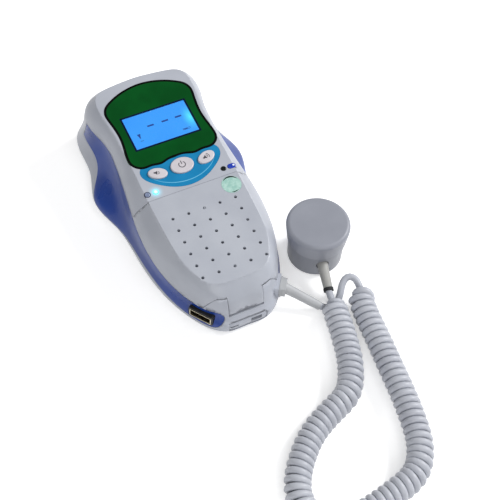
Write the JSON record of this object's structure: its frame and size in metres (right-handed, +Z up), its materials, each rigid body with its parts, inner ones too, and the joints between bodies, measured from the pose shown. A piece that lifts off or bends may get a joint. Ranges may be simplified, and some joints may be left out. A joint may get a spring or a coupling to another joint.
{
  "type": "fetal doppler monitor",
  "caption": "Hand-held heartbeat listener: waisted unit with display, oval keys, hinged speaker cover and side grips; curly cord to a round probe.",
  "frame": {"origin": "middle of the unit's flat back, on the surface it lies on", "axes": "+Z up through the front face, +Y towards the display end, +X the unit's right side, where the probe lies"},
  "size_m": [0.1133, 0.28, 0.0421],
  "materials": {
    "housing": "satin moulded grey",
    "grip_blue": "gloss deep blue",
    "panel_green": "gloss printed green and black",
    "clear": "clear",
    "display": "lit blue",
    "backlight": "milky",
    "black_plastic": "matte",
    "rubber_dark": "matte",
    "key_panel_blue": "printed light blue",
    "key_grey": "satin",
    "switch": "stamped",
    "lamp_clear": "clear, unlit",
    "lamp_cyan": "lit cyan",
    "lamp_black": "gloss",
    "lamp_blue": "tinted blue",
    "board_green": "solder mask",
    "chip": "moulded",
    "steel": "plated",
    "paper_cone": "pressed paper",
    "ferrite": "sintered",
    "foam": "foam",
    "badge": "pale green print",
    "cell_wrap": "shrink wrap",
    "nickel": "plated",
    "gold": "plated",
    "plug_grey": "moulded",
    "boot_grey": "moulded",
    "probe_grey": "satin",
    "probe_face": "satin",
    "ceramic": "fired",
    "backing": "cast",
    "cord_grey": "smooth jacket"
  },
  "bodies": {
    "unit": {"front_housing": "housing", "rear_housing": "housing", "left_grip": "grip_blue", "right_grip": "grip_blue", "display_panel": "panel_green", "display_window": "clear", "lcd_glass": "display", "lcd_backlight": "backlight", "lcd_holder": "black_plastic", "lcd_contact_strips": "rubber_dark", "key_panel": "key_panel_blue", "key_switches": "switch", "outer_left_lamp": "lamp_clear", "inner_left_lamp": "lamp_cyan", "inner_right_lamp": "lamp_black", "outer_right_lamp": "lamp_blue", "main_board": "board_green", "board_chips": "chip", "board_screws": "steel", "housing_screws": "steel", "battery_tray": "black_plastic", "battery_cells": "cell_wrap", "battery_contacts": "nickel", "battery_springs": "steel", "port_insulator": "black_plastic", "port_shell": "nickel", "port_tongue": "black_plastic", "port_contacts": "gold", "probe_socket": "housing", "probe_plug": "plug_grey", "plug_boot": "boot_grey", "probe_cap": "probe_face", "probe_base": "probe_grey", "probe_crystals": "ceramic", "probe_backing": "backing", "probe_board": "board_green", "probe_seal": "rubber_dark", "probe_boot": "boot_grey", "probe_boot_ring": "rubber_dark", "cord_lead": "cord_grey", "cord_coil": "cord_grey", "cord_tail": "cord_grey"},
    "cover": {"speaker_cover": "housing", "speaker_frame": "steel", "speaker_cone": "paper_cone", "speaker_magnet": "ferrite", "speaker_gasket": "foam", "badge_disc": "badge"},
    "left_key_body": {"left_key": "key_grey"},
    "middle_key_body": {"middle_key": "key_grey"},
    "right_key_body": {"right_key": "key_grey"}
  },
  "joints": [
    {"name": "cover_hinge", "type": "hinge", "parent": "unit", "child": "cover", "pos_m": [0, -0.009, 0.03644], "axis": [-1, 0, 0], "range_deg": [0, 35]},
    {"name": "left_key_press", "type": "slide", "parent": "unit", "child": "left_key_body", "axis": [0, 0.0732, -0.9973], "range_m": [0, 0.0005], "stiffness_N_per_m": 1600},
    {"name": "middle_key_press", "type": "slide", "parent": "unit", "child": "middle_key_body", "axis": [0, 0.0732, -0.9973], "range_m": [0, 0.0005], "stiffness_N_per_m": 1600},
    {"name": "right_key_press", "type": "slide", "parent": "unit", "child": "right_key_body", "axis": [0, 0.0732, -0.9973], "range_m": [0, 0.0005], "stiffness_N_per_m": 1600}
  ]
}
